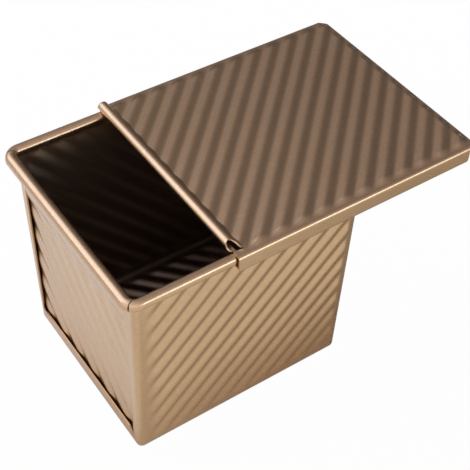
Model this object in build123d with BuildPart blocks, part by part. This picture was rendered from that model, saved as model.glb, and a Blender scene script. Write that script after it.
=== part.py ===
from build123d import *
from math import atan, cos, pi, sin, sqrt
import os

# Pullman loaf pan: a folded, corrugated sheet-metal box with a wired rim, and a
# lid that slides along its two long rims. Millimetres, +Z up. The origin is the
# middle of the floor's underside. X runs along the slide, and the lid's pull
# points to -X. The pan is the same when it is turned half round about Z.

os.makedirs("parts", exist_ok=True)

# Pan, outside sizes
floor_length = 114.8
floor_width = 98.6
rim_height = 111.0
end_lean = 0.6
side_lean = 3.4
sheet = 0.7
corner_radius = 3.0
floor_radius = 2.5

# Rim: the sheet is rolled outward round a wire, full round on the ends and with
# a flat top on the sides, where the lid runs
end_roll_diameter = 6.0
side_roll_width = 4.8
side_roll_height = 4.9
side_roll_top_radius = 1.5
side_roll_bottom_radius = 1.8
curl_gap = 0.4
rim_seam = 0.35
wire_clearance = 0.2
wire_butt_gap = 0.5

# Corrugation: parallel beads pressed out of the sheet at 45 degrees
bead_pitch = 7.93
bead_chord = 4.4
bead_rise = 0.8
bead_margin = 1.6
bend_margin = 8.0
end_bead_pitch = 11.3
end_bead_chord = 8.0
end_bead_rise = 1.1

# End walls: the flap folded round from one side lies behind a tab of the other
# side and a tab of the floor, and steps out to a flush margin beside its own
# fold and below the rim
side_tab = 6.5
floor_tab = 8.2
recess = 3.0
fold_margin = 5.0
rim_margin = 17.5

# Lid, and how far it is pulled open
lid_length = 131.3
lid_width = 116.4
lid_flange = 8.6
lid_lip = 3.4
lid_bend_radius = 1.3
lip_bend_radius = 0.9
lid_lift = 0.3
lid_open = 54.9
lid_corner_cut = 4.0
lid_bead_margin = 2.6
flange_corner_radius = 2.0

# The pull: the lid's front edge rolled up and back into a hollow bar
pull_width = 5.6
pull_height = 3.5
pull_radius = 1.6
pull_overhang = 1.5
pull_near_setback = 8.2
pull_far_setback = 0.4

# Every cut runs past its face by this much
overrun = 1.0

# Worked out from the sizes above
wall_top = rim_height - end_roll_diameter / 2
wall_share = wall_top / rim_height
rim_inner_x = floor_length / 2 + end_lean * wall_share - sheet
rim_inner_y = floor_width / 2 + side_lean * wall_share - sheet
end_roll_x = rim_inner_x + end_roll_diameter / 2
side_roll_y = rim_inner_y + side_roll_width / 2
side_roll_z = rim_height - side_roll_height / 2
corner_x = rim_inner_x + sheet - corner_radius
corner_y = rim_inner_y + sheet - corner_radius
lid_top = rim_height + lid_lift + sheet
lid_front = lid_open - lid_length / 2
wire_diameter = side_roll_width - 2 * (sheet + wire_clearance)
wire_corner_radius = corner_radius - sheet + side_roll_width / 2
corner_turn_shares = (0, 1 / 3, 2 / 3, 1)


def wall_plane(outward, half_span, lean):
    """A wall's outside face, seen from outside: local x to the right, local y up."""
    tilt = atan(lean / rim_height)
    normal = outward * cos(tilt) - Vector(0, 0, 1) * sin(tilt)
    return Plane(outward * half_span, x_dir=Vector(0, 0, 1).cross(outward), z_dir=normal)


def tapered_box(inset):
    """The pan as a solid that leans outward, every wall and the floor set in by inset."""
    top = wall_top + (overrun if inset else 0)
    half_shares = (0, top / rim_height)
    with BuildPart() as box:
        for height, share in zip((inset, top), half_shares):
            with BuildSketch(Plane.XY.offset(height)):
                Rectangle(floor_length + 2 * (end_lean * share - inset),
                          floor_width + 2 * (side_lean * share - inset))
        loft(ruled=True)
        fillet(box.edges().group_by(Axis.Z)[1], corner_radius - inset)
        fillet(box.edges().group_by(Axis.Z)[0], floor_radius - inset)
    return box.part


def diagonals(x_from, x_to, y_from, y_to, pitch, slope):
    """Ends of the 45 degree lines, one pitch apart, that cross a rectangle and miss its middle."""
    middle = Vector((x_from + x_to) / 2, (y_from + y_to) / 2)
    half_x = (x_to - x_from) / 2
    half_y = (y_to - y_from) / 2
    step = pitch * sqrt(2)
    count = int((half_x + half_y) / step) + 1
    lines = []
    for index in range(-count, count):
        shift = (index + 1 / 2) * step
        low = max(-half_x, -half_y - shift)
        high = min(half_x, half_y - shift)
        if high - low > pitch / 2:
            lines.append((middle + Vector(slope * low, low + shift),
                          middle + Vector(slope * high, high + shift)))
    return lines


def pressed_beads(plane, lines, chord, rise, inset, keep=None):
    """Round-ended bars whose backs stand out of a plane, or with inset the hollow under them."""
    crest_radius = ((chord / 2) ** 2 + rise ** 2) / (2 * rise)
    radius = crest_radius - inset
    with BuildPart() as beads:
        for start, end in lines:
            first = plane.from_local_coords(start + Vector(0, 0, rise - crest_radius))
            last = plane.from_local_coords(end + Vector(0, 0, rise - crest_radius))
            along = (last - first).normalized()
            span = (last - first).length
            with BuildSketch(Plane(first, x_dir=along, z_dir=along.cross(plane.z_dir))):
                with BuildLine():
                    RadiusArc((-radius, 0), (0, radius), radius)
                    Line((0, radius), (span, radius))
                    RadiusArc((span, radius), (span + radius, 0), radius)
                    Line((span + radius, 0), (-radius, 0))
                make_face()
            revolve(axis=Axis(first, along))
        if keep is not None:
            add(keep, mode=Mode.INTERSECT)
    return beads.part


def wall_slab(plane, x_from, x_to, y_from, y_to, outer_depth, inner_depth, keep):
    """What a box between two depths behind a wall's outside face shares with keep."""
    with BuildPart() as slab:
        with BuildSketch(plane.offset(-inner_depth)):
            with Locations(((x_from + x_to) / 2, (y_from + y_to) / 2)):
                Rectangle(x_to - x_from, y_to - y_from)
        extrude(amount=inner_depth - outer_depth)
        add(keep, mode=Mode.INTERSECT)
    return slab.part


def rim_roll(inset):
    """The roll all round the rim, its surface set in by inset."""
    with BuildPart() as roll:
        with BuildSketch(Plane.YZ.offset(-corner_x)) as side_section:
            with Locations((-side_roll_y, side_roll_z)):
                Rectangle(side_roll_width - 2 * inset, side_roll_height - 2 * inset)
            fillet(side_section.vertices().group_by(Axis.Y)[-1], side_roll_top_radius - inset)
            fillet(side_section.vertices().group_by(Axis.Y)[0], side_roll_bottom_radius - inset)
        extrude(amount=2 * corner_x)
        mirror(about=Plane.XZ)
        with BuildSketch(Plane.XZ.offset(-corner_y)):
            with Locations((-end_roll_x, wall_top)):
                Circle(end_roll_diameter / 2 - inset)
        extrude(amount=2 * corner_y)
        mirror(about=Plane.YZ)
    with BuildPart() as corner:
        for share in corner_turn_shares:
            outward = Vector(-cos(share * pi / 2), -sin(share * pi / 2))
            radius = (end_roll_diameter + (side_roll_width - end_roll_diameter) * share) / 2
            middle = Vector(-corner_x, -corner_y, rim_height - radius)
            middle += outward * (corner_radius - sheet + radius)
            with BuildSketch(Plane(middle, x_dir=outward, z_dir=Vector(0, 0, 1).cross(outward))):
                Circle(radius - inset)
        loft()
        mirror(about=Plane.XZ)
        mirror(about=Plane.YZ)
    with BuildPart() as whole:
        add(roll.part)
        add(corner.part)
    return whole.part


end_planes = [wall_plane(Vector(side, 0), floor_length / 2, end_lean) for side in (-1, 1)]
side_planes = [wall_plane(Vector(0, side), floor_width / 2, side_lean) for side in (-1, 1)]

# Where the beads lie, from the pan's own edges
side_lines = diagonals(bend_margin + bead_chord / 2 - floor_length / 2,
                       floor_length / 2 - corner_radius - bead_margin - bead_chord / 2,
                       floor_radius + bead_margin + bead_chord / 2,
                       rim_height - side_roll_height - bead_chord / 2,
                       bead_pitch, 1)
floor_half_x = floor_length / 2 - recess - sheet - bead_margin - bead_chord / 2
floor_half_y = floor_width / 2 - floor_radius - bead_margin - bead_chord / 2
floor_lines = diagonals(-floor_half_x, floor_half_x, -floor_half_y, floor_half_y, bead_pitch, -1)
flap_fold = floor_width / 2 - fold_margin
flap_top = rim_height - rim_margin
end_lines = diagonals(side_tab - floor_width / 2, flap_fold - bead_margin - end_bead_chord / 2,
                      floor_tab, flap_top - bead_margin - end_bead_chord / 2, end_bead_pitch, -1)

outer_box = tapered_box(0)
inner_box = tapered_box(sheet)

# Body sheet: floor, side walls, end flaps, tabs and rolled rim, folded from one blank
with BuildPart() as body_sheet:
    add(outer_box)
    for plane in side_planes:
        add(pressed_beads(plane, side_lines, bead_chord, bead_rise, 0))
    add(inner_box, mode=Mode.SUBTRACT)
    for plane in side_planes:
        add(pressed_beads(plane, side_lines, bead_chord, bead_rise, sheet), mode=Mode.SUBTRACT)

    # Floor beads stand up into the pan, so that its underside stays flat
    floor_plane = Plane.XY.offset(sheet)
    add(pressed_beads(floor_plane, floor_lines, bead_chord, bead_rise, 0, outer_box))
    add(pressed_beads(floor_plane, floor_lines, bead_chord, bead_rise, sheet), mode=Mode.SUBTRACT)

    # Each end: the flap, the pocket between it and the tabs, the opening inside the tabs
    for plane in end_planes:
        flap = wall_slab(plane, -floor_width, flap_fold + sheet, 0, flap_top + sheet,
                         0, recess + sheet, outer_box)
        pocket = wall_slab(plane, -floor_width, flap_fold, 0, flap_top, 0, recess, inner_box)
        add(flap)
        add(pocket, mode=Mode.SUBTRACT)
        with BuildSketch(plane.offset(overrun)):
            with BuildLine():
                Polyline((side_tab - floor_width / 2, flap_top),
                         (side_tab - floor_width / 2, floor_tab),
                         (flap_fold - floor_tab + floor_radius, floor_tab),
                         (flap_fold, floor_radius),
                         (flap_fold, flap_top), close=True)
            make_face()
        extrude(amount=-overrun - recess, mode=Mode.SUBTRACT)
        back_plane = plane.offset(-recess)
        flap_slab = wall_slab(plane, -floor_width, flap_fold, 0, flap_top,
                              0, recess + sheet, outer_box)
        groove_slab = wall_slab(plane, -floor_width, flap_fold, 0, flap_top,
                                0, recess + sheet + overrun, inner_box)
        add(pressed_beads(back_plane, end_lines, end_bead_chord, end_bead_rise, 0, flap_slab))
        add(pressed_beads(back_plane, end_lines, end_bead_chord, end_bead_rise, sheet, groove_slab),
            mode=Mode.SUBTRACT)

    # Rolled rim, with the gap at the roll's free edge and a seam at each corner
    add(rim_roll(0))
    add(rim_roll(sheet), mode=Mode.SUBTRACT)
    with BuildSketch(Plane.XY.offset(wall_top)):
        for side in (-1, 1):
            with Locations((side * (rim_inner_x + sheet + curl_gap / 2), 0)):
                Rectangle(curl_gap, 2 * corner_y)
            with Locations((0, side * (rim_inner_y + sheet + curl_gap / 2))):
                Rectangle(2 * (corner_x - rim_seam), curl_gap)
    extrude(amount=-end_roll_diameter / 2 - overrun, mode=Mode.SUBTRACT)

    with BuildSketch(Plane.XY.offset(side_roll_z - side_roll_height)):
        with GridLocations(2 * corner_x - rim_seam, 2 * side_roll_y, 2, 2):
            Rectangle(rim_seam, side_roll_width)
    extrude(amount=2 * side_roll_height, mode=Mode.SUBTRACT)

# Rim wire: one loop inside the rolls, its two ends facing each other across a small gap
with BuildPart() as rim_wire:
    with BuildLine(Plane.XY.offset(side_roll_z)) as wire_path:
        FilletPolyline((wire_butt_gap / 2, side_roll_y), (end_roll_x, side_roll_y),
                       (end_roll_x, -side_roll_y), (-end_roll_x, -side_roll_y),
                       (-end_roll_x, side_roll_y), (-wire_butt_gap / 2, side_roll_y),
                       radius=wire_corner_radius)
    with BuildSketch(wire_path.line ^ 0):
        Circle(wire_diameter / 2)
    sweep()

# Lid sheet: beaded panel, side channels hooked under the side rolls, rolled pull
lid_plane = Plane.XY.offset(lid_top)
lid_beads_x = (lid_front + pull_width - pull_overhang + bead_chord / 2 + bead_margin,
               lid_front + lid_length - bead_chord / 2 - bead_margin)
lid_beads_y = lid_width / 2 - lid_bead_margin - bead_chord / 2
lid_lines = diagonals(*lid_beads_x, -lid_beads_y, lid_beads_y, bead_pitch, 1)
with BuildPart() as lid_skin:
    with BuildSketch(Plane.XY.offset(lid_top - sheet)):
        with Locations((lid_open, 0)):
            Rectangle(lid_length, lid_width)
    extrude(amount=sheet + bead_rise)
with BuildPart() as lid_sheet:
    with BuildSketch(Plane.YZ.offset(lid_front)) as channel_section:
        with Locations((0, lid_top - lid_flange / 2)):
            Rectangle(lid_width, lid_flange)
            fillet(channel_section.vertices().group_by(Axis.Y)[-1], lid_bend_radius)
            fillet(channel_section.vertices().group_by(Axis.Y)[0], lip_bend_radius)
        offset(amount=-sheet, mode=Mode.SUBTRACT)
        with Locations((0, lid_top - lid_flange)):
            Rectangle(lid_width - 2 * lid_lip, 2 * sheet, mode=Mode.SUBTRACT)
    extrude(amount=lid_length)
    # The channels' lower corners are rounded at both ends, seen from the side
    with BuildSketch(Plane.XZ.offset(-lid_width)) as side_outline:
        with Locations((lid_open, lid_top - lid_flange / 2)):
            Rectangle(lid_length, lid_flange)
            fillet(side_outline.vertices().group_by(Axis.Y)[0], flange_corner_radius)
    extrude(amount=2 * lid_width, mode=Mode.INTERSECT)
    # The corners away from the pull are cut across, through panel and channel
    with BuildSketch(Plane.XY.offset(lid_top - lid_flange - overrun)):
        with Locations((lid_front + lid_length, lid_width / 2), (lid_front + lid_length, -lid_width / 2)):
            Rectangle(lid_corner_cut * sqrt(2), lid_corner_cut * sqrt(2), rotation=45)
    extrude(amount=lid_flange + 2 * overrun, mode=Mode.SUBTRACT)
    add(pressed_beads(lid_plane, lid_lines, bead_chord, bead_rise, 0, lid_skin.part))
    add(pressed_beads(lid_plane, lid_lines, bead_chord, bead_rise, sheet), mode=Mode.SUBTRACT)
    # Pull
    pull_length = lid_width - pull_near_setback - pull_far_setback
    with BuildSketch(Plane.XZ.offset(lid_width / 2 - pull_near_setback)) as pull_section:
        with Locations((lid_front - pull_overhang + pull_width / 2, lid_top - sheet + pull_height / 2)):
            Rectangle(pull_width, pull_height)
            fillet(pull_section.vertices(), pull_radius)
        offset(amount=-sheet, mode=Mode.SUBTRACT)
    extrude(amount=-pull_length)

for piece, name in ((body_sheet, "body_sheet"), (rim_wire, "rim_wire"), (lid_sheet, "lid_sheet")):
    piece.part.label = name
    export_step(piece.part, f"parts/{name}.step")
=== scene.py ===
import bmesh
import bpy
import math
import numpy as np
from mathutils import Matrix, Vector


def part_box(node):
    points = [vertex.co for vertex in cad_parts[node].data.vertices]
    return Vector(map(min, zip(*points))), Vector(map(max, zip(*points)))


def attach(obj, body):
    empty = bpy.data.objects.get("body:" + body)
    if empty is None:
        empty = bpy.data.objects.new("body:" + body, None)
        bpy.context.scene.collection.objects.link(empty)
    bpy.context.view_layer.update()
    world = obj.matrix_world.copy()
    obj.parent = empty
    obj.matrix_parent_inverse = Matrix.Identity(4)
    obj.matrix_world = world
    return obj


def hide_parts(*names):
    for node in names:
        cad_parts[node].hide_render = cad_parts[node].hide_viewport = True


# Pullman loaf pan: a folded, corrugated sheet-metal box and its sliding lid.
# Lengths are in millimetres until a mesh is made. +Z up, X along the slide.

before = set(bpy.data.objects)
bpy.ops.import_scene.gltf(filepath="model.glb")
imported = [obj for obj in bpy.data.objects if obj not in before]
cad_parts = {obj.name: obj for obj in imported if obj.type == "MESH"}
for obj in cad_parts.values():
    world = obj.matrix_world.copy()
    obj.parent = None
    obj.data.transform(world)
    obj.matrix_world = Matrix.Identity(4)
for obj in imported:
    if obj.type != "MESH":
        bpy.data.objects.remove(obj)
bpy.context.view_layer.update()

MM = 0.001


def box_in_mm(node):
    """Lowest and highest corner of a node."""
    low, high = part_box(node)
    return np.array(low) / MM, np.array(high) / MM


body_high = box_in_mm("body_sheet")[1]
lid_low, lid_high = box_in_mm("lid_sheet")

# Sheet metal
SHEET = 0.7
HALF = SHEET / 2
WELD = 0.002
SMOOTH_ANGLE = math.radians(38)
CURVE_STEPS = 24

# Pan
RIM = body_high[2]
FLOOR_X = 57.4
FLOOR_Y = 49.3
LEAN_X = 0.6
LEAN_Y = 3.4
CORNER = 3.0
ROLL_END = 6.0
ROLL_SIDE_WIDTH = 4.8
ROLL_SIDE_HEIGHT = 4.9
ROLL_INNER_RADIUS = 2.1
ROLL_SHOULDER_RADIUS = 1.6
ROLL_BOTTOM_RADIUS = 1.8
ROLL_END_STOP = -129
CURL_GAP = 0.4
WALL_TOP = RIM - ROLL_END / 2

# Seam of the rim at each corner, as angles from the end's direction
SEAM_START = 57
SEAM_END = 37
SEAM_HALF = 2.2
SEAM_REACH = 0.4

# Window between the tabs of an end wall, in the end wall's own left-to-right direction
WINDOW_LEFT = -45.5
WINDOW_RIGHT = 45.6
WINDOW_TOP = 93.5
TAB_LEFT_HEIGHT = 8.4
TAB_RIGHT_HEIGHT = 9.4
TAPER_START = 40.5
TAPER_HEIGHT = 3.6
RECESS = 1.8
STEP_TOP = 12.0
RIB_TOP = 3.2
STEP_FROM = 41.4
STEP_TO = 44.4
TUCK = 0.95
TUCK_REACH = 0.8
PANEL_BOTTOM = 1.25
PANEL_SIDE_GAP = 0.15

# Corrugations: distance between crests along the first axis, slant, place of a crest, rise.
# The third harmonic makes their flanks nearly flat.
THIRD = 1 / 15
SIDE_WAVE = dict(pitch=11.3, slant=0.93, crest=3.1, rise=1.35)
END_WAVE = dict(pitch=15.4, slant=0.93, crest=2.9, rise=0.5)
LID_WAVE = dict(pitch=11.12, slant=0.98, crest=10.5, rise=1.1)

# Where the ridges end: the gap to an edge, and the length over which they fade
SIDE_LEFT_GAP = 3.5
SIDE_LEFT_FADE = 8.0
SIDE_RIGHT_FADE = 3.0
SIDE_EDGE_GAP = 0.3
SIDE_BOTTOM_FADE = 3.5
SIDE_TOP_FADE = 2.0
RIB_SIDE_GAP = 0.5
RIB_SIDE_FADE = 6.0
RIB_TOP_FADE = 7.0
FLOOR_GAP_X = 5.1
FLOOR_GAP_Y = 1.0
FLOOR_FADE = 3.0
LID_SIDE_GAP = 1.8
LID_SIDE_FADE = 4.0
LID_REAR_GAP = 1.0
LID_REAR_FADE = 2.2

# Lid
LID_FRONT = -10.75
LID_REAR = lid_high[0] - 0.05
LID_HALF = lid_high[1]
LID_TOP = 112.0
LID_BEND = 1.3
LIP_BEND = 0.9
LIP = 3.4
FLANGE_LOW = lid_low[2]
FLANGE_CORNER = 2.0
REAR_CUT = 4.0
BEAD_BACK = -3.4
RIDGE_FROM = -8.4
RIDGE_START = 2.2

# The bead from the fold over its top to its tail: x, z, and the y at which its near end is cut
BEAD_LOOP = ((-3.4, 111.65, -53.8), (-5.2, 111.65, -53.8), (-6.4, 111.72, -53.8), (-7.2, 112.7, -52.6),
             (-8.1, 113.95, -50.4), (-9.5, 114.42, -48.6), (-10.8, 114.1, -48.8), (-11.65, 113.25, -49.6),
             (-11.88, 112.4, -50.6), (-11.4, 111.7, -52.0), (-10.4, 111.46, -52.7), (-9.2, 111.46, -52.7))
BEAD_FOLD = -6.1
SLIT = -54.1
SLIT_FRONT = -53.0
SLIT_REACH_FLAT = -56.6
SLIT_REACH_BEAD = -43.0

# Camera
CAMERA_AZIMUTH = -35.65
CAMERA_ELEVATION = 45.66
CAMERA_ROLL = 2.08
CAMERA_DISTANCE = 567.6
CAMERA_RIGHT = 24.70
CAMERA_UP = 48.86
CAMERA_LENS = 84.5
SENSOR = 36.0


def smooth(value):
    """0 below 0, 1 above 1, and a smooth step between."""
    share = np.clip(value, 0, 1)
    return share * share * (3 - 2 * share)


def wave(along, across, pitch, slant, crest, rise):
    """Height of a rounded zigzag whose crests lie where along minus slant times across is crest."""
    turn = 2 * math.pi * (along - slant * across - crest) / pitch
    return rise * (0.5 + 0.5 * (np.cos(turn) + THIRD * np.cos(3 * turn)) / (1 + THIRD))


def spaced(stops, counts):
    """Values from stop to stop, with a number of equal steps between each two. Stops may be arrays."""
    parts = [np.linspace(stops[i], stops[i + 1], counts[i] + 1)[:-1] for i in range(len(counts))]
    return np.concatenate(parts + [np.asarray(stops[-1])[None]])


def curve_through(points, count):
    """Evenly spaced points on a smooth curve through the given ones."""
    given = np.array(points)
    padded = np.concatenate([2 * given[:1] - given[1:2], given, 2 * given[-1:] - given[-2:-1]])
    fine = []
    for a, b, c, d in zip(padded, padded[1:], padded[2:], padded[3:]):
        for t in np.linspace(0, 1, CURVE_STEPS, endpoint=False):
            fine.append(0.5 * (2 * b + (c - a) * t + (2 * a - 5 * b + 4 * c - d) * t ** 2
                               + (3 * b - a - 3 * c + d) * t ** 3))
    fine = np.array(fine + [given[-1]])
    return evenly(fine, count)


def evenly(path, count):
    """Points at equal distances along a path."""
    length = np.concatenate([[0], np.cumsum(np.linalg.norm(np.diff(path, axis=0), axis=1))])
    at = np.linspace(0, length[-1], count)
    return np.stack([np.interp(at, length, path[:, k]) for k in range(path.shape[1])], axis=-1)


def arc(centre, radius, start, end, count=9):
    """Points on an arc, angles in degrees."""
    angles = np.radians(np.linspace(start, end, count))
    return np.stack([centre[0] + radius * np.cos(angles), centre[1] + radius * np.sin(angles)], axis=-1)


class Shell:
    """Grids of points that are welded where they meet and thickened into sheet metal."""

    def __init__(self):
        self.points = []
        self.faces = []
        self.count = 0

    def add(self, grid, keep=None):
        """Adds a grid of rows and columns. keep says which of its cells are there."""
        rows, columns = grid.shape[:2]
        index = np.arange(rows * columns).reshape(rows, columns) + self.count
        cells = np.stack([index[:-1, :-1], index[:-1, 1:], index[1:, 1:], index[1:, :-1]], axis=-1)
        kept = cells.reshape(-1, 4) if keep is None else cells[keep]
        self.points.append(grid.reshape(-1, 3))
        self.faces.append(kept)
        self.count += rows * columns

    def build(self, name, outer, inner):
        """The finished object, with a material for its outer side and one for its inner side."""
        points = np.concatenate(self.points) * MM
        faces = np.concatenate(self.faces)
        skin = bpy.data.meshes.new(name + "_skin")
        skin.from_pydata(points.tolist(), [], faces.tolist())
        work = bmesh.new()
        work.from_mesh(skin)
        bmesh.ops.remove_doubles(work, verts=work.verts, dist=WELD * MM)
        loose = [vertex for vertex in work.verts if not vertex.link_faces]
        bmesh.ops.delete(work, geom=loose, context="VERTS")
        bmesh.ops.recalc_face_normals(work, faces=work.faces)
        middle = Vector(points.mean(axis=0))
        outward = sum(face.normal.dot(face.calc_center_median() - middle) for face in work.faces)
        if outward < 0:
            bmesh.ops.reverse_faces(work, faces=work.faces)
        work.to_mesh(skin)
        work.free()
        skin.materials.append(outer)
        skin.materials.append(inner)
        draft = bpy.data.objects.new(name + "_draft", skin)
        bpy.context.scene.collection.objects.link(draft)
        solid = draft.modifiers.new("sheet", "SOLIDIFY")
        solid.thickness = SHEET * MM
        solid.offset = 0
        solid.use_even_offset = False
        solid.use_rim = True
        solid.material_offset = 1
        bpy.context.view_layer.update()
        graph = bpy.context.evaluated_depsgraph_get()
        mesh = bpy.data.meshes.new_from_object(draft.evaluated_get(graph))
        bpy.data.objects.remove(draft)
        mesh.name = name
        work = bmesh.new()
        work.from_mesh(mesh)
        bmesh.ops.recalc_face_normals(work, faces=work.faces)
        work.to_mesh(mesh)
        work.free()
        mesh.shade_smooth()
        mesh.set_sharp_from_angle(angle=SMOOTH_ANGLE)
        piece = bpy.data.objects.new(name, mesh)
        bpy.context.scene.collection.objects.link(piece)
        return piece


# Pan

BEND = CORNER - HALF
BEND_ROWS = 7
ROLL_ROWS = 38
ROLL_SAMPLES = 90
SHOULDER_SAMPLES = 16
OUTER_FROM = WALL_TOP - 1.0
WALL_ROWS = (6, 82, 12)
SIDE_COLUMNS = 116
END_COLUMNS = (2, 86, 2)
CORNER_COLUMNS = (6, 1, 6)
TUCKED_COLUMNS = 3
TUCKED_ROWS = 8


def tab_height(place):
    """Upper edge of the bottom tab, at places along the end wall."""
    share = (place - WINDOW_LEFT) / (TAPER_START - WINDOW_LEFT)
    level = TAB_LEFT_HEIGHT + (TAB_RIGHT_HEIGHT - TAB_LEFT_HEIGHT) * np.clip(share, 0, 1)
    taper = np.clip((place - TAPER_START) / (WINDOW_RIGHT - TAPER_START), 0, 1)
    return level + (TAPER_HEIGHT - TAB_RIGHT_HEIGHT) * taper


def half_x(height):
    """Middle of the end wall's sheet."""
    return FLOOR_X - HALF + LEAN_X * height / RIM


def half_y(height):
    """Middle of the side wall's sheet."""
    return FLOOR_Y - HALF + LEAN_Y * height / RIM


def end_roll():
    """The end's roll: distance outward from the wall, and height."""
    radius = ROLL_END / 2 - HALF
    ring = arc((radius, WALL_TOP), radius, 180, ROLL_END_STOP, ROLL_SAMPLES)
    return evenly(ring, ROLL_ROWS + 1)


def side_roll():
    """The long side's roll: nearly flat on top, with rounded shoulders."""
    width = ROLL_SIDE_WIDTH - SHEET
    high = RIM - HALF
    low = RIM - ROLL_SIDE_HEIGHT + HALF
    top = ROLL_INNER_RADIUS - HALF
    shoulder = ROLL_SHOULDER_RADIUS - HALF
    bottom = ROLL_BOTTOM_RADIUS - HALF
    path = np.concatenate([
        [[0, WALL_TOP]],
        arc((top, high - top), top, 180, 90),
        arc((width - shoulder, high - shoulder), shoulder, 90, 0, SHOULDER_SAMPLES),
        arc((width - bottom, low + bottom), bottom, 0, -90),
        [[CURL_GAP + SHEET, low]],
    ])
    return evenly(path, ROLL_ROWS + 1)


def corner_angles(share):
    """Angles of a corner's columns, from the end's direction, where share says how far along the roll."""
    seam = SEAM_START + (SEAM_END - SEAM_START) * np.clip(share / SEAM_REACH, 0, 1)
    return spaced((0 * seam, seam - SEAM_HALF, seam + SEAM_HALF, 90 + 0 * seam), CORNER_COLUMNS)


def pan_half():
    """Points of the near side, a corner, the far end and the next corner, with the cells that are there."""
    turn = np.radians(np.linspace(0, 90, BEND_ROWS + 1))
    end_curl = end_roll()
    side_curl = side_roll()
    wall_rows = sum(WALL_ROWS)
    rows = BEND_ROWS + wall_rows + ROLL_ROWS + 1
    roll_from = BEND_ROWS + wall_rows
    roll_share = np.zeros(rows)
    roll_share[roll_from:] = np.linspace(0, 1, ROLL_ROWS + 1)

    def column_rows(edge, side_share):
        """Outward distance and height of each row of a column."""
        out = np.zeros(rows)
        height = np.zeros(rows)
        out[:BEND_ROWS + 1] = BEND * np.sin(turn)
        height[:BEND_ROWS + 1] = HALF + BEND * (1 - np.cos(turn))
        out[BEND_ROWS:roll_from + 1] = BEND
        height[BEND_ROWS:roll_from + 1] = spaced((HALF + BEND, edge, WINDOW_TOP, WALL_TOP), WALL_ROWS)
        curl = end_curl + (side_curl - end_curl) * side_share
        out[roll_from:] = BEND + curl[:, 0]
        height[roll_from:] = curl[:, 1]
        return out, height

    columns = []
    seams = []

    # Near side
    for share in np.linspace(-1, 1, SIDE_COLUMNS + 1):
        edge = TAPER_HEIGHT + (TAB_LEFT_HEIGHT - TAPER_HEIGHT) * (share + 1) / 2
        out, height = column_rows(edge, 1)
        wall = np.minimum(height, WALL_TOP)
        x = share * (half_x(wall) - BEND)
        out = out + side_waves(x, height, roll_share)
        columns.append(np.stack([x, -(half_y(wall) - BEND) - out, height], axis=-1))
        seams.append(False)

    # Corner between the near side and the end
    angles = np.array([corner_angles(share) for share in roll_share])
    for k in range(sum(CORNER_COLUMNS), -1, -1):
        columns.append(corner_column(column_rows, angles[:, k], -1, TAB_LEFT_HEIGHT))
        seams.append(k == CORNER_COLUMNS[0] + 1)

    # End
    for k in range(sum(END_COLUMNS) + 1):
        out, height = column_rows(0, 0)
        wall = np.minimum(height, WALL_TOP)
        reach = half_y(wall) - BEND
        left = WINDOW_LEFT + 0 * reach
        right = WINDOW_RIGHT + 0 * reach
        y = spaced((-reach, left, right, reach), END_COLUMNS)[k]
        edge = tab_height(y[BEND_ROWS + WALL_ROWS[0]])
        out, height = column_rows(edge, 0)
        wall = np.minimum(height, WALL_TOP)
        reach = half_y(wall) - BEND
        y = spaced((-reach, left, right, reach), END_COLUMNS)[k]
        columns.append(np.stack([half_x(wall) - BEND + out, y, height], axis=-1))
        seams.append(False)

    # Corner between the end and the far side
    for k in range(sum(CORNER_COLUMNS) + 1):
        columns.append(corner_column(column_rows, angles[:, k], 1, TAPER_HEIGHT))
        seams.append(k == CORNER_COLUMNS[0])

    grid = np.stack(columns, axis=1)
    keep = np.ones((rows - 1, grid.shape[1] - 1), bool)
    for column, seam in enumerate(seams[:-1]):
        if seam:
            keep[roll_from + 2:, column] = False
    first_end = SIDE_COLUMNS + 1 + sum(CORNER_COLUMNS) + 1
    window_from = first_end + END_COLUMNS[0]
    window_to = window_from + END_COLUMNS[1]
    keep[BEND_ROWS + WALL_ROWS[0]:BEND_ROWS + WALL_ROWS[0] + WALL_ROWS[1], window_from:window_to] = False
    return grid, keep


def corner_column(column_rows, angle, side, edge):
    """A column of a corner of the far end. side is -1 for its near corner and 1 for its far one."""
    shares = (angle / 90)[:, None]
    out_end, height_end = column_rows(edge, 0)
    out_side, height_side = column_rows(edge, 1)
    out = out_end + (out_side - out_end) * shares[:, 0]
    height = height_end + (height_side - height_end) * shares[:, 0]
    wall = np.minimum(height, WALL_TOP)
    turn = np.radians(angle)
    x = half_x(wall) - BEND + out * np.cos(turn)
    y = side * (half_y(wall) - BEND + out * np.sin(turn))
    return np.stack([x, y, height], axis=-1)


def side_waves(x, height, roll_share):
    """Ridges of a long side: they fade at the left corner and end short of the other edges."""
    left = smooth((x + FLOOR_X - SIDE_LEFT_GAP) / SIDE_LEFT_FADE)
    right = smooth((FLOOR_X - BEND - x) / SIDE_RIGHT_FADE)
    bottom = smooth((height - HALF - BEND - SIDE_EDGE_GAP) / SIDE_BOTTOM_FADE)
    top = smooth((WALL_TOP - SIDE_EDGE_GAP - height) / SIDE_TOP_FADE)
    flat = np.where(roll_share > 0, 0, 1)
    return wave(x, height, **SIDE_WAVE) * left * right * bottom * top * flat


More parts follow.
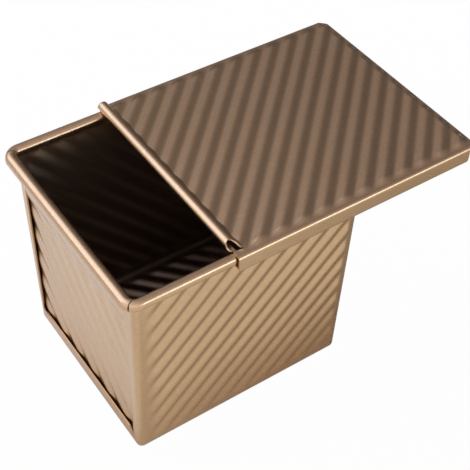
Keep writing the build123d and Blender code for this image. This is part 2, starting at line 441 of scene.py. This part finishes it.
def end_panel():
    """The flap of the far end that shows in its window: recessed, ribbed, flush at the fold and the top."""
    window = np.linspace(WINDOW_LEFT, WINDOW_RIGHT, END_COLUMNS[1] + 1)
    edge = tab_height(window)
    tucked_edge = np.concatenate([np.full(TUCKED_COLUMNS, edge[0]), edge])
    height = spaced((PANEL_BOTTOM + 0 * tucked_edge, tucked_edge, WINDOW_TOP + 0 * tucked_edge),
                    (TUCKED_ROWS, WALL_ROWS[1]))
    inner = half_y(height) - HALF - PANEL_SIDE_GAP
    place = np.zeros_like(height)
    place[:, TUCKED_COLUMNS:] = window
    for k in range(TUCKED_COLUMNS):
        share = 1 - k / TUCKED_COLUMNS
        place[:, k] = WINDOW_LEFT + (-inner[:, k] - WINDOW_LEFT) * share
    step_right = smooth((STEP_TO - place) / (STEP_TO - STEP_FROM))
    step_top = smooth((WINDOW_TOP - height) / STEP_TOP)
    depth = RECESS * step_right * step_top
    ribs = wave(-place, height, **END_WAVE)
    rib_side = smooth((STEP_FROM + RIB_SIDE_GAP - place) / RIB_SIDE_FADE)
    rib_end = smooth((WINDOW_TOP - RIB_TOP - height) / RIB_TOP_FADE)
    depth = depth - ribs * rib_side * rib_end
    under = smooth((tucked_edge + TUCK_REACH - height) / (2 * TUCK_REACH))
    beside = smooth((WINDOW_RIGHT - place) / TUCK_REACH)
    below = smooth((tucked_edge - height) / TUCK_REACH)
    behind = smooth((WINDOW_LEFT - place) / TUCK_REACH)
    least = TUCK * np.maximum.reduce([under * beside, below, behind])
    depth = np.maximum(depth, least)
    return np.stack([half_x(height) - depth, place, height], axis=-1)


def pan_floor(grid):
    """The floor between the bends, its ridges pressed upward. It shares its border with the walls."""
    start = grid[0]
    near = start[:SIDE_COLUMNS + 1, 0]
    first_end = SIDE_COLUMNS + 1 + sum(CORNER_COLUMNS) + 1
    right = start[first_end:first_end + sum(END_COLUMNS) + 1, 1]
    left = -right[::-1]
    across = (near - near[0]) / (near[-1] - near[0])
    x = np.broadcast_to(near, (len(right), len(near)))
    y = left[:, None] + (right - left)[:, None] * across[None, :]
    mask_x = smooth((FLOOR_X - FLOOR_GAP_X - np.abs(x)) / FLOOR_FADE)
    mask_y = smooth((FLOOR_Y - CORNER - FLOOR_GAP_Y - np.abs(y)) / FLOOR_FADE)
    z = HALF + wave(x, -(y + FLOOR_Y), **SIDE_WAVE) * mask_x * mask_y
    return np.stack([x, y, z], axis=-1)


def turned(grid):
    """The same points after half a turn about Z."""
    return grid * np.array([-1, -1, 1])


def make_pan(outer, inner):
    """The pan as one folded sheet. Its rim has the outer coating all round."""
    shell = Shell()
    grid, keep = pan_half()
    panel = end_panel()
    shell.add(grid, keep)
    shell.add(panel)
    shell.add(turned(grid), keep)
    shell.add(turned(panel))
    shell.add(pan_floor(grid))
    pan = shell.build("pan_sheet", outer, inner)
    for face in pan.data.polygons:
        if face.center.z > OUTER_FROM * MM:
            face.material_index = 0
    return pan


# Lid

LIP_COLUMNS = 3
BEND_COLUMNS = 5
FLANGE_COLUMNS = 8
NEAR_COLUMNS = 30
PANEL_COLUMNS = 100
LID_ROWS = 122
BEAD_ROWS = 40
NEAR_ZONE = 10.0
BEAD_JOIN = 1.2
LEVEL = 0.01


def lid_section():
    """Across the lid from lip to lip: y, z and how far each point is round its upper bend."""
    side = LID_HALF - HALF
    top = LID_TOP - HALF
    low = FLANGE_LOW + HALF
    bend = LID_BEND - HALF
    lip_bend = LIP_BEND - HALF
    lip = spaced((LID_HALF - LIP, side - lip_bend), (LIP_COLUMNS,))
    lower = arc((side - lip_bend, low + lip_bend), lip_bend, -90, 0, BEND_COLUMNS + 1)
    flange = spaced((low + lip_bend, top - bend), (FLANGE_COLUMNS,))
    upper = arc((side - bend, top - bend), bend, 0, 90, BEND_COLUMNS + 1)
    half = np.concatenate([
        np.stack([lip[:-1], low + 0 * lip[:-1]], axis=-1),
        lower,
        np.stack([side + 0 * flange[1:-1], flange[1:-1]], axis=-1),
        upper,
    ])
    edge = side - bend
    middle = spaced((-edge, -edge + NEAR_ZONE, edge), (NEAR_COLUMNS, PANEL_COLUMNS))[1:-1]
    near = half * np.array([-1, 1])
    panel = np.stack([middle, top + 0 * middle], axis=-1)
    section = np.concatenate([near, panel, half[::-1]])
    return section[:, 0], section[:, 1]


def lid_ends(y, z):
    """Where the sheet begins and ends along X, with rounded lower corners and cut rear corners."""
    over = np.clip(FLANGE_LOW + FLANGE_CORNER - z, 0, FLANGE_CORNER)
    rounding = FLANGE_CORNER - np.sqrt(FLANGE_CORNER ** 2 - over ** 2)
    cut = np.clip(np.abs(y) - (LID_HALF - REAR_CUT), 0, None)
    return LID_FRONT + rounding, LID_REAR - cut - rounding


def make_lid(material):
    """The lid as one sheet."""
    y, z = lid_section()
    front, rear = lid_ends(y, z)
    top = LID_TOP - HALF
    on_top = smooth((z - (top - BEAD_JOIN)) / BEAD_JOIN)

    # Back of the bead: ridged panel, flanges and lips
    share = np.linspace(0, 1, LID_ROWS + 1)[:, None]
    x = BEAD_BACK + (rear - BEAD_BACK)[None, :] * share
    side_mask = smooth((LID_HALF - LID_SIDE_GAP - np.abs(y)) / LID_SIDE_FADE)[None, :]
    end_mask = smooth((LID_REAR - LID_REAR_GAP - x) / LID_REAR_FADE)
    height = z[None, :] + wave(x, y[None, :], **LID_WAVE) * side_mask * end_mask
    main = np.stack([x, np.broadcast_to(y, x.shape), height], axis=-1)

    # Front: flat over the near rim, a slit, then the bead to the far side
    loop = curve_through(BEAD_LOOP, BEAD_ROWS + 1)
    fold = int(np.argmax(loop[:, 0] < BEAD_FOLD))
    panel = np.flatnonzero(z >= top - LEVEL)
    slit = int(panel[np.argmin(np.abs(y[panel] - SLIT))])
    row = np.arange(BEAD_ROWS + 1)
    run = np.clip((row - fold) / (BEAD_ROWS - fold), 0, 1)[:, None]
    back_x = loop[np.minimum(row, fold), :1]
    flat_x = back_x + (front[None, :] - back_x) * run
    in_bead = np.where(np.arange(len(y)) > slit, on_top, 0)[None, :]
    front_x = flat_x + (loop[:, :1] - flat_x) * in_bead
    front_z = (loop[:, 1:2] - top) * in_bead
    end_mask = smooth((front_x - RIDGE_FROM) / RIDGE_START)
    front_z = front_z + wave(front_x, y[None, :], **LID_WAVE) * side_mask * end_mask
    flat_hold = smooth((y - SLIT_REACH_FLAT) / (y[slit] - SLIT_REACH_FLAT))
    bead_hold = smooth((SLIT_REACH_BEAD - y) / (SLIT_REACH_BEAD - y[slit + 1]))
    flat_shift = (SLIT_FRONT - y[slit]) * run * flat_hold[None, :]
    bead_shift = (loop[:, 2:] - y[slit + 1]) * bead_hold[None, :]
    shift = np.where(np.arange(len(y)) > slit, bead_shift * smooth(row / fold)[:, None], flat_shift)
    bead = np.stack([front_x, y[None, :] + shift, z[None, :] + front_z], axis=-1)
    keep = np.ones((BEAD_ROWS, len(y) - 1), bool)
    keep[fold:, slit] = False

    shell = Shell()
    shell.add(main)
    shell.add(bead[::-1], keep[::-1])
    return shell.build("lid_skin", material, material)


# Materials

GOLD_FIRST = (0.60, 0.405, 0.222)
GOLD_SECOND = (0.66, 0.445, 0.248)
MOTTLE_COLOUR = (0.52, 0.345, 0.20)
FLAKE_COLOUR = (0.82, 0.62, 0.42)
FLAKE_SCALE = 2600
MOTTLE_SCALE = 420
DRIFT_SCALE = 16
MOTTLE_SHARE = 0.35
FLAKE_SHARE = 0.5
MOTTLE_BUMP = 0.12
MOTTLE_DEPTH = 0.0001
COAT_WEIGHT = 0.3
COAT_ROUGHNESS = 0.22

# Roughness between the flakes and on them
OUTER_ROUGHNESS = (0.34, 0.25)
INNER_ROUGHNESS = (0.46, 0.38)

# Inside the pan: painted shade, with colours below the rim and near the floor, and the heights between which
# they come in
DEEP_SHADE_COLOUR = (0.34, 0.26, 0.185)
DEEP_SHADE_FROM = 107.0
DEEP_SHADE_TO = 96.0
LOWEST_SHADE_COLOUR = (0.24, 0.18, 0.13)
LOWEST_SHADE_FROM = 40.0
LOWEST_SHADE_TO = 12.0

WIRE_FIRST = (0.42, 0.42, 0.43)
WIRE_SECOND = (0.60, 0.60, 0.61)
WIRE_SCALE = 900
WIRE_STRETCH = (0.15, 0.15, 3.0)
WIRE_ROUGHNESS = (0.28, 0.42)

FLOOR_FIRST = (0.90, 0.90, 0.90)
FLOOR_SECOND = (0.94, 0.94, 0.94)
FLOOR_SCALE = 30
FLOOR_ROUGHNESS = 0.9


def new_material(name):
    """An empty node material with its surface shader and its output."""
    material = bpy.data.materials.new(name)
    material.use_nodes = True
    tree = material.node_tree
    tree.nodes.clear()
    output = tree.nodes.new("ShaderNodeOutputMaterial")
    shader = tree.nodes.new("ShaderNodeBsdfPrincipled")
    tree.links.new(shader.outputs["BSDF"], output.inputs["Surface"])
    return material, tree, shader


def noise(tree, scale, detail=2.0, stretch=None):
    """Noise over the object's own coordinates. stretch scales the axes."""
    place = tree.nodes.new("ShaderNodeTexCoord")
    texture = tree.nodes.new("ShaderNodeTexNoise")
    texture.inputs["Scale"].default_value = scale
    texture.inputs["Detail"].default_value = detail
    source = place.outputs["Object"]
    if stretch is not None:
        mapping = tree.nodes.new("ShaderNodeMapping")
        mapping.inputs["Scale"].default_value = stretch
        tree.links.new(source, mapping.inputs["Vector"])
        source = mapping.outputs["Vector"]
    tree.links.new(source, texture.inputs["Vector"])
    return texture.outputs["Fac"]


def ranged(tree, value, low, high, to_low, to_high):
    """A value moved from one range to another."""
    node = tree.nodes.new("ShaderNodeMapRange")
    node.inputs["From Min"].default_value = low
    node.inputs["From Max"].default_value = high
    node.inputs["To Min"].default_value = to_low
    node.inputs["To Max"].default_value = to_high
    tree.links.new(value, node.inputs["Value"])
    return node.outputs["Result"]


def mixed(tree, share, first, second):
    """A colour between two, by share. Each may be a colour or a socket."""
    node = tree.nodes.new("ShaderNodeMix")
    node.data_type = "RGBA"
    tree.links.new(share, node.inputs["Factor"])
    for value, socket in ((first, node.inputs[6]), (second, node.inputs[7])):
        if isinstance(value, tuple):
            socket.default_value = (*value, 1.0)
        else:
            tree.links.new(value, socket)
    return node.outputs[2]


def along(tree, vector, axis):
    """How far a vector reaches along an axis."""
    node = tree.nodes.new("ShaderNodeVectorMath")
    node.operation = "DOT_PRODUCT"
    node.inputs[1].default_value = axis
    tree.links.new(vector, node.inputs[0])
    return node.outputs["Value"]


def combined(tree, operation, first, second):
    """The result of a calculation with two values."""
    node = tree.nodes.new("ShaderNodeMath")
    node.operation = operation
    tree.links.new(first, node.inputs[0])
    tree.links.new(second, node.inputs[1])
    return node.outputs[0]


def bumped(tree, shader, height, strength, distance):
    """Gives the shader a bump from a height."""
    node = tree.nodes.new("ShaderNodeBump")
    node.inputs["Strength"].default_value = strength
    node.inputs["Distance"].default_value = distance
    tree.links.new(height, node.inputs["Height"])
    tree.links.new(node.outputs["Normal"], shader.inputs["Normal"])


def coated_steel(name, roughness, shade_inside=False):
    """Champagne-gold non-stick coating: satin metallic, with fine flakes and faint mottling.

    Inside the pan, painted shade darkens it below the rim, and again near the floor."""
    material, tree, shader = new_material(name)
    flakes = noise(tree, FLAKE_SCALE, 1.0)
    mottle = noise(tree, MOTTLE_SCALE, 3.0)
    drift = noise(tree, DRIFT_SCALE, 2.0)
    base = mixed(tree, ranged(tree, drift, 0.3, 0.7, 0, 1), GOLD_FIRST, GOLD_SECOND)
    tone = mixed(tree, ranged(tree, mottle, 0.35, 0.65, 0, MOTTLE_SHARE), base, MOTTLE_COLOUR)
    colour = mixed(tree, ranged(tree, flakes, 0.55, 0.75, 0, FLAKE_SHARE), tone, FLAKE_COLOUR)
    # painted shade: inside the pan the colour darkens below the rim, and again near the floor
    if shade_inside:
        place = tree.nodes.new("ShaderNodeTexCoord")
        parts = tree.nodes.new("ShaderNodeSeparateXYZ")
        tree.links.new(place.outputs["Object"], parts.inputs["Vector"])
        depth = ranged(tree, parts.outputs["Z"], DEEP_SHADE_FROM * MM, DEEP_SHADE_TO * MM, 0, 1)
        lowest_shade = ranged(tree, parts.outputs["Z"], LOWEST_SHADE_FROM * MM, LOWEST_SHADE_TO * MM, 0, 1)
        colour = mixed(tree, depth, colour, mixed(tree, lowest_shade, DEEP_SHADE_COLOUR, LOWEST_SHADE_COLOUR))
    tree.links.new(colour, shader.inputs["Base Color"])
    tree.links.new(ranged(tree, flakes, 0.3, 0.7, *roughness), shader.inputs["Roughness"])
    shader.inputs["Metallic"].default_value = 1.0
    shader.inputs["Coat Weight"].default_value = COAT_WEIGHT
    shader.inputs["Coat Roughness"].default_value = COAT_ROUGHNESS
    bumped(tree, shader, mottle, MOTTLE_BUMP, MOTTLE_DEPTH)
    return material


def wire_steel():
    """Plain drawn steel wire, with fine draw marks."""
    material, tree, shader = new_material("wire_steel")
    marks = noise(tree, WIRE_SCALE, 2.0, stretch=WIRE_STRETCH)
    colour = mixed(tree, ranged(tree, marks, 0.35, 0.65, 0, 1), WIRE_FIRST, WIRE_SECOND)
    tree.links.new(colour, shader.inputs["Base Color"])
    tree.links.new(ranged(tree, marks, 0.3, 0.7, *WIRE_ROUGHNESS), shader.inputs["Roughness"])
    shader.inputs["Metallic"].default_value = 1.0
    return material


# Studio

# The floor's white: to the camera, and to reflections in front of the pan and left of it
CAMERA_GLOW = 0.98
FRONT_AXIS = (-0.411, -0.912, 0.0)
FRONT_FROM = 0.039
FRONT_TO = 0.146
FRONT_GLOW = 0.75
LEFT_FROM = -0.055
LEFT_TO = -0.07
LEFT_FULL = -0.13
LEFT_END = -0.21
LEFT_GLOW = 0.62
FLOOR_SIZE = 6.0

# Where along Y the floor's colour turns to a warm painted shade in front of the pan
FRONT_SHADE_FROM = 0.10
FRONT_SHADE_TO = -0.08
FRONT_FLOOR_SHADE = (0.48, 0.42, 0.30)

# The room: sine of the elevation where the ceiling begins, and its light along two directions
CEILING_SINE = 0.5
CEILING_AXIS = (-0.923, -0.386, 0.0)
CEILING_DIM = (0.05, 0.047, 0.05)
CEILING_BRIGHT = (1.36, 1.26, 1.42)
HORIZON_AXIS = (-0.52, -0.855, 0.0)
HORIZON_DIM = (0.04, 0.035, 0.035)
HORIZON_BRIGHT = (1.0, 1.04, 1.10)

# Soft boxes: direction from the pan, and distance and size in metres
LAMP_AIM = (0.02, 0.0, 0.06)
LEFT_LAMP = dict(direction=(-0.42, 0.57, 0.71), distance=1.4, size=1.25, power=5.6, colour=(0.82, 1.0, 1.38))
FRONT_LAMP = dict(direction=(0.41, -0.87, 0.24), distance=1.2, size=0.6, power=3.0, colour=(0.88, 1.0, 1.24))


def backdrop_share(tree):
    """How much of its white the floor shows: nearly all to the camera, part to reflections, else none."""
    rays = tree.nodes.new("ShaderNodeLightPath")
    seen = tree.nodes.new("ShaderNodeMath")
    seen.operation = "MULTIPLY"
    seen.inputs[1].default_value = CAMERA_GLOW
    tree.links.new(rays.outputs["Is Camera Ray"], seen.inputs[0])
    share = seen.outputs[0]
    place = tree.nodes.new("ShaderNodeTexCoord")
    parts = tree.nodes.new("ShaderNodeSeparateXYZ")
    tree.links.new(place.outputs["Object"], parts.inputs["Vector"])
    forward = along(tree, place.outputs["Object"], FRONT_AXIS)
    front = ranged(tree, forward, FRONT_FROM, FRONT_TO, 0, FRONT_GLOW)
    beside = ranged(tree, parts.outputs["X"], LEFT_FROM, LEFT_TO, 0, LEFT_GLOW)
    faded = ranged(tree, parts.outputs["X"], LEFT_FULL, LEFT_END, 1, 0)
    left = combined(tree, "MULTIPLY", beside, faded)
    glow = combined(tree, "MAXIMUM", front, left)
    for kind in ("Is Glossy Ray", "Is Transmission Ray"):
        node = tree.nodes.new("ShaderNodeMath")
        node.operation = "MULTIPLY_ADD"
        tree.links.new(glow, node.inputs[1])
        tree.links.new(rays.outputs[kind], node.inputs[0])
        tree.links.new(share, node.inputs[2])
        share = node.outputs[0]
    return share


def floor_material():
    """A white floor that keeps a little of the object's shadow, with a warm painted shade in front of the
    pan.
    """
    material, tree, shader = new_material("studio_floor")
    grain = noise(tree, FLOOR_SCALE, 2.0)
    plain = mixed(tree, grain, FLOOR_FIRST, FLOOR_SECOND)
    place = tree.nodes.new("ShaderNodeTexCoord")
    parts = tree.nodes.new("ShaderNodeSeparateXYZ")
    tree.links.new(place.outputs["Object"], parts.inputs["Vector"])
    # painted shade: the floor's colour turns darker and warm in front of the pan, where the pan's side
    # reflects it
    front = ranged(tree, parts.outputs["Y"], FRONT_SHADE_FROM, FRONT_SHADE_TO, 0, 1)
    tone = mixed(tree, front, plain, FRONT_FLOOR_SHADE)
    tree.links.new(tone, shader.inputs["Base Color"])
    shader.inputs["Roughness"].default_value = FLOOR_ROUGHNESS
    glow = tree.nodes.new("ShaderNodeEmission")
    glow.inputs["Color"].default_value = (1.0, 1.0, 1.0, 1.0)
    glow.inputs["Strength"].default_value = 1.0
    blend = tree.nodes.new("ShaderNodeMixShader")
    output = tree.nodes["Material Output"]
    tree.links.new(backdrop_share(tree), blend.inputs[0])
    tree.links.new(shader.outputs["BSDF"], blend.inputs[1])
    tree.links.new(glow.outputs["Emission"], blend.inputs[2])
    tree.links.new(blend.outputs["Shader"], output.inputs["Surface"])
    return material


def make_floor():
    """The floor that the pan stands on."""
    mesh = bpy.data.meshes.new("floor")
    half = FLOOR_SIZE / 2
    mesh.from_pydata([(-half, -half, 0), (half, -half, 0), (half, half, 0), (-half, half, 0)],
                     [], [(0, 1, 2, 3)])
    mesh.materials.append(floor_material())
    floor = bpy.data.objects.new("floor", mesh)
    bpy.context.scene.collection.objects.link(floor)


def toward(tree, place, axis):
    """0 against an axis, 1 along it, for the directions of the world."""
    return ranged(tree, along(tree, place.outputs["Generated"], axis), -1, 1, 0, 1)


def make_world():
    """A white surround for the camera, and a studio room, bright in front and dim behind on the right."""
    world = bpy.data.worlds.new("studio")
    bpy.context.scene.world = world
    world.use_nodes = True
    tree = world.node_tree
    tree.nodes.clear()
    output = tree.nodes.new("ShaderNodeOutputWorld")
    place = tree.nodes.new("ShaderNodeTexCoord")
    parts = tree.nodes.new("ShaderNodeSeparateXYZ")
    tree.links.new(place.outputs["Generated"], parts.inputs["Vector"])
    rise = ranged(tree, parts.outputs["Z"], 0.0, CEILING_SINE, 0, 1)
    horizon = mixed(tree, toward(tree, place, HORIZON_AXIS), HORIZON_DIM, HORIZON_BRIGHT)
    ceiling = mixed(tree, toward(tree, place, CEILING_AXIS), CEILING_DIM, CEILING_BRIGHT)
    room = tree.nodes.new("ShaderNodeBackground")
    tree.links.new(mixed(tree, rise, horizon, ceiling), room.inputs["Color"])
    white = tree.nodes.new("ShaderNodeBackground")
    white.inputs["Color"].default_value = (1.0, 1.0, 1.0, 1.0)
    rays = tree.nodes.new("ShaderNodeLightPath")
    blend = tree.nodes.new("ShaderNodeMixShader")
    tree.links.new(rays.outputs["Is Camera Ray"], blend.inputs[0])
    tree.links.new(room.outputs["Background"], blend.inputs[1])
    tree.links.new(white.outputs["Background"], blend.inputs[2])
    tree.links.new(blend.outputs["Shader"], output.inputs["Surface"])


def camera_axes():
    """Right, up and back directions of the camera."""
    azimuth = math.radians(CAMERA_AZIMUTH)
    elevation = math.radians(CAMERA_ELEVATION)
    roll = math.radians(CAMERA_ROLL)
    back = np.array([math.sin(azimuth) * math.cos(elevation),
                     -math.cos(azimuth) * math.cos(elevation),
                     math.sin(elevation)])
    right = np.cross([0, 0, 1.0], back)
    right = right / np.linalg.norm(right)
    up = np.cross(back, right)
    tilted_right = math.cos(roll) * right + math.sin(roll) * up
    tilted_up = math.cos(roll) * up - math.sin(roll) * right
    return tilted_right, tilted_up, back


def make_camera():
    """The photograph's camera."""
    right, up, back = camera_axes()
    place = (back * CAMERA_DISTANCE + right * CAMERA_RIGHT + up * CAMERA_UP) * MM
    data = bpy.data.cameras.new("camera")
    data.sensor_fit = "HORIZONTAL"
    data.sensor_width = SENSOR
    data.lens = CAMERA_LENS
    data.clip_start = 0.01
    camera = bpy.data.objects.new("camera", data)
    matrix = Matrix.Identity(4)
    for k in range(3):
        matrix[k][0] = right[k]
        matrix[k][1] = up[k]
        matrix[k][2] = back[k]
        matrix[k][3] = place[k]
    camera.matrix_world = matrix
    bpy.context.scene.collection.objects.link(camera)
    bpy.context.scene.camera = camera


def make_lamp(name, direction, distance, size, power, colour):
    """A square soft box that looks at the middle of the pan."""
    unit = np.array(direction) / np.linalg.norm(direction)
    data = bpy.data.lights.new(name, "AREA")
    data.shape = "SQUARE"
    data.size = size
    data.energy = power
    data.color = colour
    lamp = bpy.data.objects.new(name, data)
    side = np.cross([0, 0, 1.0], unit)
    side = side / np.linalg.norm(side)
    over = np.cross(unit, side)
    matrix = Matrix.Identity(4)
    for k in range(3):
        matrix[k][0] = side[k]
        matrix[k][1] = over[k]
        matrix[k][2] = unit[k]
        matrix[k][3] = LAMP_AIM[k] + unit[k] * distance
    lamp.matrix_world = matrix
    bpy.context.scene.collection.objects.link(lamp)


scene = bpy.context.scene
scene.view_settings.view_transform = "Standard"
make_camera()
make_world()
make_floor()
make_lamp("left_soft_box", **LEFT_LAMP)
make_lamp("front_soft_box", **FRONT_LAMP)

coating = coated_steel("coated_steel", OUTER_ROUGHNESS)
# the inside of the pan gets a copy of the coating with painted shade
shaded_inner_coating = coated_steel("coated_steel_inner_painted_shade", INNER_ROUGHNESS, shade_inside=True)
pan = make_pan(coating, shaded_inner_coating)
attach(pan, "pan")
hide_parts("body_sheet")

lid = make_lid(coating)
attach(lid, "lid")
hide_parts("lid_sheet")

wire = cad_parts["rim_wire"]
wire.data.materials.clear()
wire.data.materials.append(wire_steel())
